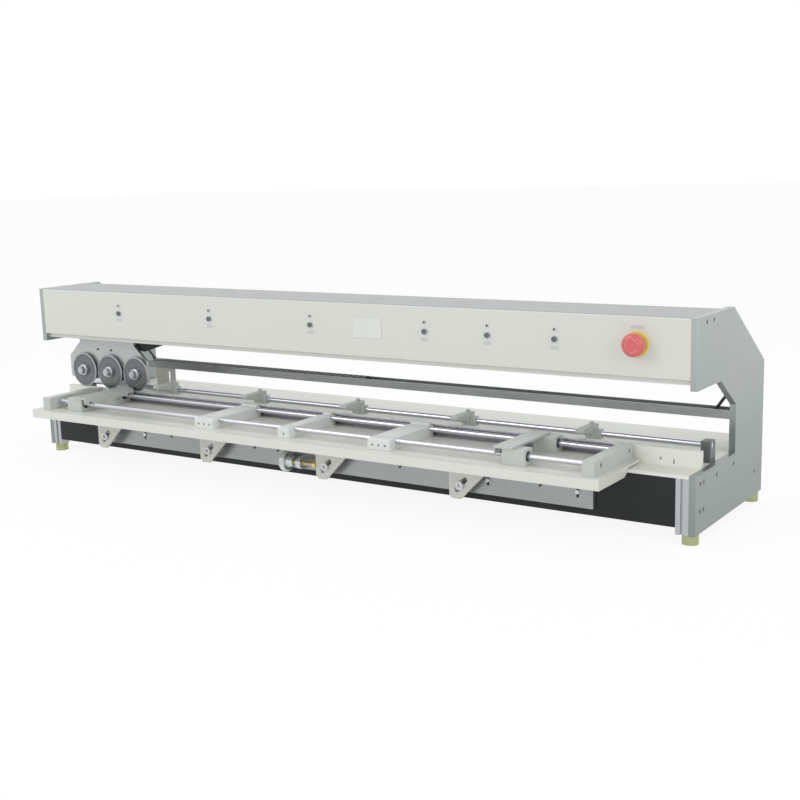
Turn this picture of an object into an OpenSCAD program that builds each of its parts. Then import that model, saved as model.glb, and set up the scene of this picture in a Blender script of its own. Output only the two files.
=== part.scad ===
// Long-bed board depaneling machine: two C-shaped end plates carry a base and an overhead beam.
// Three round blades run along the beam above a straight lower knife, and a lifting table with
// adjustable board guides stands in front of the knife.
// Datum: x = 0 mid-length, y = 0 at the front edge of the end plates, z = 0 at their lower edge.
// Every module works in that datum; in_frame() moves it so that the feet stand on z = 0.

/* [End plates] */
// Overall length over the two end plates
machine_length = 1600; // [1200:10:2000]
// Thickness of each end plate
plate_t = 12; // [10:1:16]
// Height of the end plates
plate_h = 370; // [350:5:420]
// Depth of the end plates, front to back
plate_depth = 350; // [330:5:420]
// Height of the base part of the end plates
base_h = 104; // [98:1:112]
// Height of the underside of the head, above the board throat
throat_top = 248; // [236:1:256]
// Diameter of a levelling foot
foot_d = 29; // [24:1:34]
// Height of a levelling foot
foot_h = 18; // [12:1:30]

/* [Base] */
// Thickness of the base top plate
base_top_t = 6; // [4:1:8]
// Thickness of the front panel
front_panel_t = 6; // [3:1:8]
// Width of the square corner posts
post_w = 23; // [18:1:28]
// Thickness of the folded base shell
shell_t = 2; // [1.5:0.5:3]

/* [Lower knife] */
// Front face of the upright rail
rail_y = 57; // [55:1:60]
// Thickness of the upright rail
rail_t = 10; // [8:1:14]
// Height of the upright rail above the base
rail_h = 30; // [26:1:32]
// Thickness of the straight knife
knife_t = 4; // [3:0.5:5]
// Height of the straight knife
knife_h = 22; // [16:1:24]

/* [Rear rod and clamps] */
// Diameter of the rear rod
rod_d = 12; // [10:1:14]
// Distance of the rod behind the end plate front
rod_y = 114; // [110:1:120]
// Height of the rod axis
rod_z = 134; // [131:1:136]
// Spacing of the rod clamps
clamp_pitch = 265; // [200:5:290]
// Width of a clamp body
clamp_w = 16; // [14:1:22]
// Reach of a clamp finger in front of its body
finger_l = 42; // [30:1:43]

/* [Table] */
// Length of the table
table_l = 1391; // [1300:1:1396]
// Depth of the table, front to back
table_w = 171; // [160:1:172]
// Thickness of the table sheet
table_t = 4; // [3:0.5:5]
// Height of the table top
table_z = 111; // [110:0.5:112]
// Drop of the front and side lips below the sheet
lip_h = 14; // [8:1:15]
// Diameter of the two guide shafts
shaft_d = 10; // [8:1:12]
// Distance between the guide shafts
shaft_gap = 117; // [100:1:120]
// Width of an end bar
end_bar_w = 22; // [18:1:28]
// Width of the two wide support bars
wide_bar_w = 50; // [40:1:60]
// Width of the narrow support bar
narrow_bar_w = 28; // [20:1:34]

/* [Lift] */
// Angle of the lifting slots above the horizontal
slot_angle = 49; // [40:1:60]
// Diameter of the guide pins in the slots
pin_d = 10; // [8:1:12]
// Half of the travel of a pin along its slot
slot_half = 13.5; // [12:0.5:15]
// Spacing of the wedge brackets
bracket_pitch = 312; // [280:1:330]
// Height of the apron bar
apron_h = 60; // [50:1:62]
// Thickness of the apron bar
apron_t = 8; // [6:1:10]
// Diameter of the lifting screw
screw_d = 8; // [6:1:10]
// Diameter of the hand knob
knob_d = 42; // [34:1:42]

/* [Blades] */
// Diameter of a round blade
blade_d = 80; // [70:1:84]
// Thickness of a round blade
blade_t = 3; // [2:0.5:3.5]
// Spacing of the round blades
blade_pitch = 85; // [84.5:0.5:90]
// Gap between the blades and the straight knife
blade_gap = 0.6; // [0.3:0.1:2]
// Diameter of a blade spindle
spindle_d = 12; // [10:1:14]

/* [Beam] */
// Depth of the beam cover
cover_depth = 140; // [136:1:150]
// Sheet thickness of the beam cover
cover_t = 2; // [1.5:0.5:2.5]
// Lower edge of the beam's front panel
cover_z = 266; // [262:1:270]
// Depth of the aluminium beam
profile_w = 40; // [36:1:42]
// Height of the aluminium beam
profile_h = 80; // [70:1:82]
// Width of the linear rail
guide_w = 15; // [12:1:18]
// Diameter of the belt pulleys
pulley_d = 30; // [24:1:34]

/* [Control panel] */
// Diameter of a push button cap
button_d = 10; // [8:0.5:12]
// Diameter of the emergency stop head
estop_d = 40; // [34:1:44]
// Diameter of the emergency stop collar
collar_d = 44; // [40:1:50]

/* [Hidden] */

$fn = 48;
fit = 0.05;            // radial clearance of a running fit
gap = 0.3;             // clearance between pieces that only lie near each other
eps = 0.01;

half = machine_length / 2;
inner = half - plate_t;                       // inner face of an end plate
rail_top = base_h + rail_h;
base_top_under = base_h - base_top_t;

table_front = -121;
table_rear = table_front + table_w;
table_mid_x = -15.5;
table_left = table_mid_x - table_l / 2;
table_right = table_mid_x + table_l / 2;
frame_shift_y = (table_front + plate_depth) / 2;

module in_frame() translate([0, -frame_shift_y, foot_h]) children();

// A box given by its two opposite corners
module block(low, high) translate(low) cube(high - low);

// A rectangle given by its two opposite corners
module block2(low, high) translate(low) square(high - low);

// A cylinder along x, from x0 to x1, about (y, z)
module bar_x(x0, x1, y, z, d)
    translate([x0, y, z]) rotate([0, 90, 0]) cylinder(h = x1 - x0, d = d);

// A cylinder along y, from y0 to y1, about (x, z)
module bar_y(y0, y1, x, z, d)
    translate([x, y0, z]) rotate([-90, 0, 0]) cylinder(h = y1 - y0, d = d);

// A cylinder along z, from z0 to z1, about (x, y)
module bar_z(x, y, z0, z1, d) translate([x, y, z0]) cylinder(h = z1 - z0, d = d);

// An upright slot cut along y, from y0 to y1, its end radii about (x, z0) and (x, z1)
module slot_y(y0, y1, x, z0, z1, w) {
    for (z = [z0, z1]) bar_y(y0, y1, x, z, w);
    block([x - w / 2, y0, z0], [x + w / 2, y1, z1]);
}

// An outline in (y, z), extruded from x0 to x1
module extrude_x(x0, x1)
    translate([x0, 0, 0]) rotate([90, 0, 90]) linear_extrude(height = x1 - x0) children();

// An outline in (x, z), extruded from y0 to y1
module extrude_y(y0, y1)
    translate([0, y1, 0]) rotate([90, 0, 0]) linear_extrude(height = y1 - y0) children();

// ---------------------------------------------------------------- end plates

column_y = 196;                               // front edge of the column behind the throat
throat_y = 115;                               // where the head starts to slope down to the column
throat_low = 193;                             // where that slope meets the column
head_y = 175;                                 // where the top edge starts to slope down
head_rear_z = plate_h - 118;
screw_shank_d = 5;
screw_head_d = 8.5;
screw_head_h = 5.2;
screw_socket_d = 4.6;
foot_x = half - foot_d / 2;
foot_inset = 18;
foot_chamfer = 2;

// Screws in each end plate, as [y, z]
plate_screws = [[41, plate_h - 11], [75, plate_h - 11], [22, 87], [39, 87], [22, 39], [39, 39],
    [102, 86], [188, 86], [308, 46]];

module end_plate_outline()
    polygon([[0, 0], [plate_depth, 0], [plate_depth, head_rear_z], [head_y, plate_h],
        [0, plate_h], [0, throat_top], [throat_y, throat_top], [column_y, throat_low],
        [column_y, base_h], [0, base_h]]);

// The right-hand end plate; its screws are sunk flush from outside
module end_plate()
    difference() {
        extrude_x(inner, half) end_plate_outline();
        for (p = plate_screws) {
            bar_x(inner - 1, half + 1, p[0], p[1], screw_shank_d + 0.5);
            bar_x(half - screw_head_h, half + 1, p[0], p[1], screw_head_d + 0.5);
        }
    }

module end_plates()
    color("silver") in_frame() {
        end_plate();
        mirror([1, 0, 0]) end_plate();
    }

// A socket screw through an end plate, driven from outside; its head seats in the counterbore
module plate_screw(p)
    difference() {
        union() {
            bar_x(half - screw_head_h, half - 0.3, p[0], p[1], screw_head_d);
            bar_x(inner + eps, half - screw_head_h + 1, p[0], p[1], screw_shank_d);
        }
        translate([half - 3, p[0], p[1]])
            rotate([0, 90, 0])
                cylinder(h = 4, d = screw_socket_d, $fn = 6);
    }

module end_plate_screws()
    color("dimgray") in_frame()
        for (side = [0, 1]) mirror([side, 0, 0])
            for (p = plate_screws) plate_screw(p);

// Round feet stand under the posts and the end plates
module levelling_foot(x, y)
    translate([x, y, 0]) {
        translate([0, 0, -foot_h])
            cylinder(h = foot_h - foot_chamfer, d = foot_d);
        translate([0, 0, -foot_chamfer - eps])
            cylinder(h = foot_chamfer + eps, d1 = foot_d, d2 = foot_d - 2 * foot_chamfer);
    }

module levelling_feet()
    color("khaki") in_frame()
        for (sx = [-1, 1], y = [foot_inset, plate_depth - foot_inset])
            levelling_foot(sx * foot_x, y);

// ---------------------------------------------------------------- base

base_low = 12;                                // lower edge of the base panels
post_inner = inner - post_w;

groove_w = 6;
groove_depth = 4;

// Grooved aluminium post in each corner
module corner_post(y0)
    translate([post_inner, y0, 0])
        linear_extrude(height = base_top_under)
            difference() {
                square([post_w, post_w]);
                translate([post_w / 2, post_w / 2]) {
                    for (a = [0, 90, 180])
                        rotate(a)
                            translate([0, -post_w / 2])
                                square([groove_w, 2 * groove_depth], center = true);
                    circle(d = groove_w);
                }
            }

module corner_posts()
    color("darkgray") in_frame()
        for (side = [0, 1]) mirror([side, 0, 0]) {
            corner_post(0);
            corner_post(plate_depth - post_w - shell_t);
        }

module base_top_plate()
    color("gainsboro") in_frame()
        difference() {
            block([-inner, 0, base_top_under], [inner, plate_depth, base_h]);
            bar_z(side_cable_x, side_cable_y, base_top_under - 1, base_h + 1, side_cable_d + 2);
        }

module base_front_panel()
    color([0.13, 0.14, 0.14]) in_frame()
        block([-post_inner, 0, base_low], [post_inner, front_panel_t, base_top_under]);

inlet_x = -560;
inlet_z = 56;
inlet_w = 28;
inlet_h = 22;

// Folded sheet that closes the floor and the back of the base
module base_shell()
    color("gainsboro") in_frame()
        difference() {
            union() {
                block([-inner, plate_depth - shell_t, base_low], [inner, plate_depth, base_top_under]);
                block([-post_inner, front_panel_t, base_low],
                    [post_inner, plate_depth, base_low + shell_t]);
            }
            block([inlet_x - inlet_w / 2, plate_depth - shell_t - 1, inlet_z - inlet_h / 2],
                [inlet_x + inlet_w / 2, plate_depth + 1, inlet_z + inlet_h / 2]);
            for (i = [0:9], side = [0, 1]) mirror([side, 0, 0])
                block([360 + i * 14, plate_depth - shell_t - 1, 36],
                    [366 + i * 14, plate_depth + 1, 76]);
        }

// Appliance inlet in the back of the base: a socket body with a flange
module power_inlet()
    color([0.1, 0.1, 0.1]) in_frame() {
        difference() {
            block([inlet_x - inlet_w / 2 + 0.2, plate_depth - 26, inlet_z - inlet_h / 2 + 0.2],
                [inlet_x + inlet_w / 2 - 0.2, plate_depth, inlet_z + inlet_h / 2 - 0.2]);
            block([inlet_x - 11, plate_depth - 18, inlet_z - 8],
                [inlet_x + 11, plate_depth + 1, inlet_z + 8]);
        }
        for (x = [-6, 0, 6])
            block([inlet_x + x - 1, plate_depth - 18 - eps, inlet_z - 2],
                [inlet_x + x + 1, plate_depth - 4, inlet_z + 3]);
    }

// ---------------------------------------------------------------- rail, knife and rear rod

rail_left = -inner;
rail_right = inner;
gauge_hole_x = 715;
gauge_slot_x = 739;
gauge_slot_w = 3;
knife_left = -645;
knife_right = 627;
knife_r = 6;

module upright_rail()
    color("beige") in_frame()
        difference() {
            block([rail_left, rail_y, base_h], [rail_right, rail_y + rail_t, rail_top]);
            bar_y(rail_y - 1, rail_y + rail_t + 1, gauge_hole_x, base_h + 11, 5);
            slot_y(rail_y - 1, rail_y + rail_t + 1, gauge_slot_x, base_h + 5, base_h + 11,
                gauge_slot_w);
        }

// Straight knife on the front of the rail, its upper corners rounded
module lower_knife()
    color("slategray") in_frame()
        extrude_y(rail_y - knife_t, rail_y) {
            block2([knife_left, rail_top - knife_h], [knife_right, rail_top - knife_r]);
            block2([knife_left + knife_r, rail_top - knife_r - eps],
                [knife_right - knife_r, rail_top]);
            for (x = [knife_left + knife_r, knife_right - knife_r])
                translate([x, rail_top - knife_r]) circle(r = knife_r);
        }

module rear_rod()
    color("white") in_frame()
        bar_x(-inner + 1, inner - 1, rod_y, rod_z, rod_d);

// Dark blocks at both ends hold the rod
support_w = 18;
module rod_support()
    difference() {
        block([inner - support_w, rod_y - 12, base_h], [inner, rod_y + 12, rod_z + rod_d / 2 + 2]);
        bar_x(inner - support_w - 1, inner + 1, rod_y, rod_z, rod_d + 2 * fit);
    }

module rod_supports()
    color("dimgray") in_frame()
        for (side = [0, 1]) mirror([side, 0, 0]) rod_support();

finger_top = rod_z + 16;
clamp_front = rod_y - 12;
clamp_rear = rod_y + 12;
clamp_low = rod_z - 10;
clamp_x0 = -502;
ear_l = 12;
ear_half = 8;
clamp_screw_d = 5;

module clamp_profile()
    polygon([[clamp_front - finger_l, finger_top - 6], [clamp_front - finger_l, finger_top],
        [clamp_rear, finger_top], [clamp_rear, clamp_low], [clamp_front, clamp_low],
        [clamp_front, finger_top - 16]]);

// Board rest on the rear rod: a block with a tapered finger, an ear and a clamping screw
module rod_clamp()
    difference() {
        union() {
            extrude_x(-clamp_w / 2, clamp_w / 2) clamp_profile();
            block([clamp_w / 2 - eps, rod_y - ear_half, clamp_low],
                [clamp_w / 2 + ear_l, rod_y + ear_half, rod_z + ear_half]);
        }
        bar_x(-clamp_w, clamp_w + ear_l, rod_y, rod_z, rod_d + 2 * fit);
        bar_z(0, rod_y, rod_z, finger_top + 1, clamp_screw_d + 2 * fit);
    }

module rod_clamp_n(n)
    color("beige") in_frame()
        translate([clamp_x0 + (n - 1) * clamp_pitch, 0, 0]) {
            rod_clamp();
            bar_z(0, rod_y, rod_z + rod_d / 2 + gap, finger_top + 1, clamp_screw_d);
            bar_z(0, rod_y, finger_top, finger_top + 5, clamp_screw_d + 3);
        }

// ---------------------------------------------------------------- cable tray and chain

tray_y = 196;
tray_z = 165;
tray_h = 16;
tray_w = 34;
tray_left = -668;
tray_floor_t = 2;

tray_wall_t = 2;
bracket_leg_t = 3;
tray_bracket_w = 62;

// Long open channel for the cable chain, fixed to the right end plate
module cable_tray()
    color("gray") in_frame()
        extrude_x(tray_left, inner)
            translate([tray_y, tray_z])
                difference() {
                    square([tray_w, tray_h]);
                    translate([tray_wall_t, tray_floor_t])
                        square([tray_w - 2 * tray_wall_t, tray_h]);
                }

// Slotted angle behind the tray that carries its left end
module tray_bracket()
    color("beige") in_frame()
        translate([tray_left, tray_y + tray_w, base_h])
            difference() {
                union() {
                    cube([tray_bracket_w, bracket_leg_t, tray_z + tray_h - base_h]);
                    cube([tray_bracket_w, 24, bracket_leg_t]);
                }
                slot_y(-1, bracket_leg_t + 1, 43, 20, 44, 6);
                for (x = [12, tray_bracket_w - 12])
                    translate([x, 15, -1]) cylinder(h = bracket_leg_t + 2, d = 6);
            }

chain_pitch = 15;
chain_w = 26;
chain_h = 15;
chain_fixed_x = -18;
chain_links = 41;
chain_y = tray_y + tray_w / 2;
chain_z = tray_z + tray_floor_t + chain_h / 2 + 0.2;
chain_left = chain_fixed_x - chain_links * chain_pitch;
link_side = 2.4;
link_bar_w = 6;
link_bar_t = 2;

// One link: two side plates, stepped where they hook into the next link, and two cross bars
module chain_link() {
    for (s = [-1, 1])
        translate([0, s * (chain_w - link_side) / 2, 0])
            rotate([90, 0, 0])
                linear_extrude(height = link_side, center = true)
                    difference() {
                        union() {
                            block2([0.3 - chain_pitch / 2, -chain_h / 2],
                                [chain_pitch / 2 - 3, chain_h / 2]);
                            block2([0.3 - chain_pitch / 2, 3 - chain_h / 2],
                                [chain_pitch / 2 - 0.3, chain_h / 2 - 3]);
                        }
                        translate([4 - chain_pitch / 2, 0]) circle(d = 3);
                    }
    for (z = [-chain_h / 2, chain_h / 2 - link_bar_t])
        block([-link_bar_w / 2, -chain_w / 2 + link_side - eps, z],
            [link_bar_w / 2, chain_w / 2 - link_side + eps, z + link_bar_t]);
}

// The chain lies in the tray, with a closed connector at its left end
module cable_chain()
    color([0.12, 0.12, 0.12]) in_frame() {
        for (i = [0:chain_links - 1])
            translate([chain_fixed_x - (i + 0.5) * chain_pitch, chain_y, chain_z]) chain_link();
        block([chain_left - 14, chain_y - chain_w / 2, chain_z - chain_h / 2],
            [chain_left - 0.3, chain_y + chain_w / 2, chain_z + chain_h / 2]);
    }

// ---------------------------------------------------------------- beam

lip_y = 10;
lip_z = cover_z - 10;
profile_rear = cover_depth - cover_t - 2;
profile_front = profile_rear - profile_w;
profile_z = 270;

// Folded cover of the beam: front panel with a set-back lip, top and back
module beam_cover()
    color("beige") in_frame()
        difference() {
            extrude_x(-inner, inner)
                polygon([[0, cover_z], [0, plate_h - 3], [3, plate_h], [cover_depth, plate_h],
                    [cover_depth, cover_z - 4], [cover_depth - 14, cover_z - 4],
                    [cover_depth - 14, cover_z - 4 + cover_t],
                    [cover_depth - cover_t, cover_z - 4 + cover_t],
                    [cover_depth - cover_t, plate_h - cover_t], [cover_t, plate_h - cover_t],
                    [cover_t, cover_z + cover_t], [lip_y + cover_t, cover_z + cover_t],
                    [lip_y + cover_t, lip_z], [lip_y, lip_z], [lip_y, cover_z]]);
            for (x = station_x) {
                bar_y(-1, cover_t + 1, x, button_z, bezel_thread_d + 2 * fit);
                bar_y(-1, cover_t + 1, x, lamp_z, lamp_d + 2 * fit);
            }
            bar_y(-1, cover_t + 1, estop_x, estop_z, estop_thread_d + 2 * fit);
        }

// Hollow aluminium beam between the end plates, with the idler bracket at its left end
module beam_profile()
    color("lightgray") in_frame() {
        extrude_x(-inner, inner) difference() {
            block2([profile_front, profile_z], [profile_rear, profile_z + profile_h]);
            block2([profile_front + 4, profile_z + 4],
                [profile_rear - 4, profile_z + profile_h / 2 - 2]);
            block2([profile_front + 4, profile_z + profile_h / 2 + 2],
                [profile_rear - 4, profile_z + profile_h - 4]);
        }
        bar_y(belt_y - belt_w / 2 - 2, profile_front, -pulley_x, belt_z, pulley_bore_d - 2 * fit);
        bar_y(belt_y + belt_w / 2 + flange_out + gap, profile_front, -pulley_x, belt_z, 14);
    }

guide_h = 10;
guide_z = profile_z + 20;
module linear_rail()
    color("silver") in_frame()
        difference() {
            extrude_x(-inner + 8, inner - 8)
                polygon([[profile_front, guide_z - guide_w / 2], [profile_front, guide_z + guide_w / 2],
                    [profile_front - 3, guide_z + guide_w / 2],
                    [profile_front - 5, guide_z + guide_w / 2 - 2],
                    [profile_front - 7, guide_z + guide_w / 2],
                    [profile_front - guide_h, guide_z + guide_w / 2],
                    [profile_front - guide_h, guide_z - guide_w / 2],
                    [profile_front - 7, guide_z - guide_w / 2],
                    [profile_front - 5, guide_z - guide_w / 2 + 2],
                    [profile_front - 3, guide_z - guide_w / 2]]);
            for (x = [-760:80:760])
                bar_y(profile_front - guide_h - 1, profile_front - guide_h + 5, x, guide_z, 7.5);
        }

// Belt drive: pulleys at both ends, belt, motor in front of the right pulley
pulley_x = 740;
belt_y = profile_front - 16;
belt_w = 10;
belt_t = 1.6;
belt_z = 332;
pulley_bore_d = 8;
flange_gap = 0.2;
flange_out = 1.2;
motor_w = 42;
motor_l = 44;

module drive_belt()
    color([0.1, 0.1, 0.1]) in_frame()
        extrude_y(belt_y - belt_w / 2, belt_y + belt_w / 2)
            difference() {
                belt_outline(pulley_d / 2 + belt_t + 0.1);
                belt_outline(pulley_d / 2 + 0.1);
            }

module belt_outline(r) {
    for (x = [-pulley_x, pulley_x]) translate([x, belt_z]) circle(r = r);
    block2([-pulley_x, belt_z - r], [pulley_x, belt_z + r]);
}

module pulley(x)
    difference() {
        union() {
            bar_y(belt_y - belt_w / 2, belt_y + belt_w / 2, x, belt_z, pulley_d);
            for (y = [belt_y - belt_w / 2 - flange_out, belt_y + belt_w / 2 + flange_gap])
                bar_y(y, y + flange_out - flange_gap, x, belt_z, pulley_d + 6);
            bar_y(belt_y - belt_w / 2 - flange_out, belt_y + belt_w / 2 + flange_out, x, belt_z,
                pulley_d - 6);
        }
        bar_y(belt_y - 20, belt_y + 20, x, belt_z, pulley_bore_d);
    }

module idler_pulley() color("silver") in_frame() pulley(-pulley_x);

// The drive pulley turns with the motor's shaft
motor_rear = belt_y - belt_w / 2 - 6;
module drive_pulley()
    color("silver") in_frame() {
        pulley(pulley_x);
        bar_y(motor_rear - 10, belt_y + belt_w / 2, pulley_x, belt_z, pulley_bore_d);
    }

module drive_motor()
    color([0.15, 0.15, 0.15]) in_frame()
        difference() {
            union() {
                block([pulley_x - motor_w / 2, motor_rear - 2 - motor_l, belt_z - motor_w / 2],
                    [pulley_x + motor_w / 2, motor_rear - 2, belt_z + motor_w / 2]);
                bar_y(motor_rear - 2 - eps, motor_rear, pulley_x, belt_z, 22);
                // bracket to the end plate
                block([pulley_x + motor_w / 2 - eps, motor_rear - 30, belt_z - motor_w / 2],
                    [inner, motor_rear - 2, belt_z - motor_w / 2 + 6]);
            }
            bar_y(motor_rear - 14, motor_rear + 1, pulley_x, belt_z, pulley_bore_d + 2 * fit);
        }

// ---------------------------------------------------------------- blade carriage

carriage_left = -782;
carriage_w = 252;
carriage_right = carriage_left + carriage_w;
plate_y = 62;
plate_th = 8;
plate_rear = plate_y + plate_th;
plate_low = 154;
plate_top = guide_z + 16;
shoulder_z = plate_low + 52;
neck_z = shoulder_z + 33;
neck_inset = 36;
blade_y = rail_y - knife_t / 2;
blade_z = rail_top + blade_gap + blade_d / 2;
blade_x1 = -728;
hub_d = 26;
nut_d = 19;
guide_block_l = 60;
guide_block_x = 56;
clip_left = carriage_left + 110;
clip_right = clip_left + 32;

module carriage_outline()
    polygon([[carriage_left, plate_low + 4], [carriage_left, shoulder_z],
        [carriage_left + neck_inset, neck_z], [carriage_left + neck_inset, plate_top],
        [carriage_right - neck_inset, plate_top], [carriage_right - neck_inset, neck_z],
        [carriage_right, shoulder_z], [carriage_right, plate_low],
        [carriage_left + 4, plate_low]]);

module carriage_plate()
    color("darkgray") in_frame()
        difference() {
            extrude_y(plate_y, plate_rear) carriage_outline();
            for (i = [0:2])
                bar_y(plate_y - 1, plate_rear + 1, blade_x1 + i * blade_pitch, blade_z,
                    spindle_d + 2 * fit);
        }

// Two guide blocks on the linear rail, and the clip between them that grips the belt
module carriage_blocks()
    color("dimgray") in_frame() {
        for (x = [carriage_left + guide_block_x, carriage_right - guide_block_x - guide_block_l])
            extrude_x(x, x + guide_block_l)
                difference() {
                    block2([plate_rear, guide_z - 17], [profile_front - 1.5, plate_top]);
                    block2([profile_front - guide_h - 0.4, guide_z - guide_w / 2 - 0.4],
                        [profile_front, guide_z + guide_w / 2 + 0.4]);
                }
        difference() {
            block([clip_left, plate_rear, guide_z + guide_w / 2 + 1],
                [clip_right, belt_y + belt_w / 2 + 1, belt_z - pulley_d / 2 + 5]);
            block([clip_left - 1, belt_y - belt_w / 2 - 0.5, belt_z - pulley_d / 2 - belt_t - 0.3],
                [clip_right + 1, belt_y + belt_w / 2 + 2, belt_z - pulley_d / 2 + 0.1]);
        }
    }

// Round blade with its hub, spindle and nut
module blade_unit(x) {
    translate([x, blade_y, blade_z]) rotate([90, 0, 0]) rotate_extrude()
        polygon([[spindle_d / 2, -blade_t / 2], [blade_d / 2 - 5, -blade_t / 2],
            [blade_d / 2, -0.2], [blade_d / 2, 0.2], [blade_d / 2 - 5, blade_t / 2],
            [spindle_d / 2, blade_t / 2]]);
    // spindle through the carriage plate, with a collar behind the plate
    bar_y(blade_y - 15, plate_rear + 9, x, blade_z, spindle_d);
    translate([x, blade_y - blade_t / 2, blade_z]) rotate([90, 0, 0]) rotate_extrude()
        polygon([[spindle_d / 2, 0], [hub_d / 2, 0], [hub_d / 2, 4], [hub_d / 2 - 2, 5],
            [spindle_d / 2, 5]]);
    translate([x, blade_y - blade_t / 2 - 5, blade_z]) rotate([90, 0, 0])
        difference() {
            cylinder(h = 7, d = nut_d, $fn = 6);
            translate([0, 0, -1]) cylinder(h = 9, d = spindle_d);
        }
    translate([x, blade_y + blade_t / 2, blade_z]) rotate([-90, 0, 0]) rotate_extrude()
        polygon([[spindle_d / 2, 0], [hub_d / 2, 0],
            [hub_d / 2, plate_y - blade_y - blade_t / 2 - gap],
            [spindle_d / 2, plate_y - blade_y - blade_t / 2 - gap]]);
    translate([x, plate_rear + gap, blade_z]) rotate([-90, 0, 0]) rotate_extrude()
        polygon([[spindle_d / 2, 0], [hub_d / 2, 0], [hub_d / 2, 6], [spindle_d / 2, 6]]);
}

module blade_n(n) color("slategray") in_frame() blade_unit(blade_x1 + (n - 1) * blade_pitch);

// Black arm behind the plate that carries the cable down to the chain
arm_t = 4;
arm_top = 262;

module carriage_arm()
    color([0.12, 0.12, 0.12]) in_frame()
        extrude_y(plate_rear, plate_rear + arm_t)
            polygon([[carriage_right - 90, 236], [carriage_right - 10, 226], [carriage_right + 48, 244],
                [carriage_right + 48, arm_top], [carriage_right - 90, arm_top]]);

// ---------------------------------------------------------------- control panel

station_x = [-540, -270, 0, 270, 405, 540];
button_z = 322;
lamp_z = 339.5;
lamp_d = 5;
bezel_thread_d = 12;
bezel_d = 14;
estop_x = 694;
estop_z = 322;
estop_thread_d = 22;

// Round bezels that hold the push buttons, and the lamps above them
module panel_fittings()
    color("silver") in_frame()
        for (x = station_x) {
            difference() {
                union() {
                    bar_y(-2, 0, x, button_z, bezel_d);
                    bar_y(-eps, 20, x, button_z, bezel_thread_d);
                }
                bar_y(-3, 14, x, button_z, button_d + 2 * fit);
            }
            bar_y(-2, 8, x, lamp_z, lamp_d);
            bar_y(-1, 0, x, lamp_z, lamp_d + 3);
        }

module button_n(n)
    color([0.2, 0.22, 0.22]) in_frame()
        translate([station_x[n - 1], -5, button_z]) rotate([-90, 0, 0]) rotate_extrude()
            polygon([[0, 0], [button_d / 2 - 1, 0], [button_d / 2, 1], [button_d / 2, 16], [0, 16]]);

estop_front = -25;
estop_head_l = 15;
estop_collar_t = 4;
estop_stem_d = 16;
estop_neck_d = 10;

module estop_collar()
    color("gold") in_frame()
        difference() {
            union() {
                translate([estop_x, 0, estop_z])
                    rotate([90, 0, 0])
                        cylinder(h = estop_collar_t, d1 = collar_d, d2 = collar_d - 3);
                bar_y(-eps, 36, estop_x, estop_z, estop_thread_d);
            }
            bar_y(-estop_collar_t - 1, 32, estop_x, estop_z, estop_stem_d + 2 * fit);
        }

// The stem slides in the collar; its thin neck carries the head
module estop_stem()
    color([0.15, 0.15, 0.15]) in_frame() {
        bar_y(estop_front + estop_head_l + gap, 24, estop_x, estop_z, estop_stem_d);
        bar_y(estop_front + 5, estop_front + estop_head_l + gap + eps, estop_x, estop_z,
            estop_neck_d);
    }

// Mushroom head, free to twist on its stem
module estop_head()
    color("red") in_frame()
        difference() {
            translate([estop_x, estop_front, estop_z])
                rotate([-90, 0, 0])
                    rotate_extrude()
                        polygon([[0, 0], [estop_d / 2 - 7, 0.4], [estop_d / 2 - 3, 1.8],
                            [estop_d / 2 - 0.6, 4], [estop_d / 2, 6.5], [estop_d / 2 - 0.6, 9],
                            [estop_d / 2 - 4, 11], [12, 12], [10, estop_head_l],
                            [0, estop_head_l]]);
            bar_y(estop_front + 5 - gap, 0, estop_x, estop_z, estop_neck_d + 2 * fit);
        }

// ---------------------------------------------------------------- lift

apron_left = -597;
apron_right = 617;
apron_low = 26;
bracket_x0 = -598;
bracket_y = -34;
bracket_t = 6;
bracket_low = 18;
pin_dx = 25;
pin_z = 45.5;
bracket_w = 95;
table_under = table_z - table_t;
slot_screws = [-475, 406, 587.5];
slot_screw_z = 54;
slot_screw_d = 4.8;

// Flat bar on the front panel; three upright slots let it be set level
module apron_bar()
    color("darkgray") in_frame()
        difference() {
            block([apron_left, -apron_t, apron_low], [apron_right, 0, apron_low + apron_h]);
            for (x = slot_screws)
                slot_y(-apron_t - 1, 1, x, slot_screw_z - 8, slot_screw_z + 16, slot_screw_d + 0.4);
            for (i = [0:3])
                bar_y(-apron_t - 1, 1, bracket_x0 + pin_dx + i * bracket_pitch, pin_z, pin_d + 2 * fit);
        }

screw_y = bracket_y + bracket_t / 2;
screw_z = 45;
nut_x0 = -20;
nut_x1 = -8;
nut_half = 12;
pin_head_t = 6;

// Guide pins for the lifting slots, the levelling screws and the fixed nut of the lifting screw
module apron_fittings()
    color("silver") in_frame() {
        for (i = [0:3]) {
            x = bracket_x0 + pin_dx + i * bracket_pitch;
            bar_y(bracket_y - 0.6, -0.2, x, pin_z, pin_d);
            difference() {
                bar_y(bracket_y - pin_head_t - 0.5, bracket_y - 0.5, x, pin_z, pin_d + 6);
                translate([x, bracket_y - pin_head_t - 1, pin_z])
                    rotate([-90, 0, 0])
                        cylinder(h = 4, d = 8, $fn = 6);
            }
        }
        for (x = slot_screws) {
            bar_y(-apron_t, 0, x, slot_screw_z, slot_screw_d);
            bar_y(-apron_t - 2.6, -apron_t, x, slot_screw_z, slot_screw_d + 3.2);
        }
        difference() {
            union() {
                bar_x(nut_x0, nut_x1, screw_y, screw_z, 2 * nut_half);
                block([nut_x0, screw_y, screw_z - nut_half],
                    [nut_x1, -apron_t, screw_z + nut_half]);
            }
            bar_x(nut_x0 - 1, nut_x1 + 1, screw_y, screw_z, screw_d + 2 * fit);
        }
    }

pad_right = bracket_x0 + 2 * bracket_pitch - gap;
pad_l = 8;
pad_wall = 3;

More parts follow.
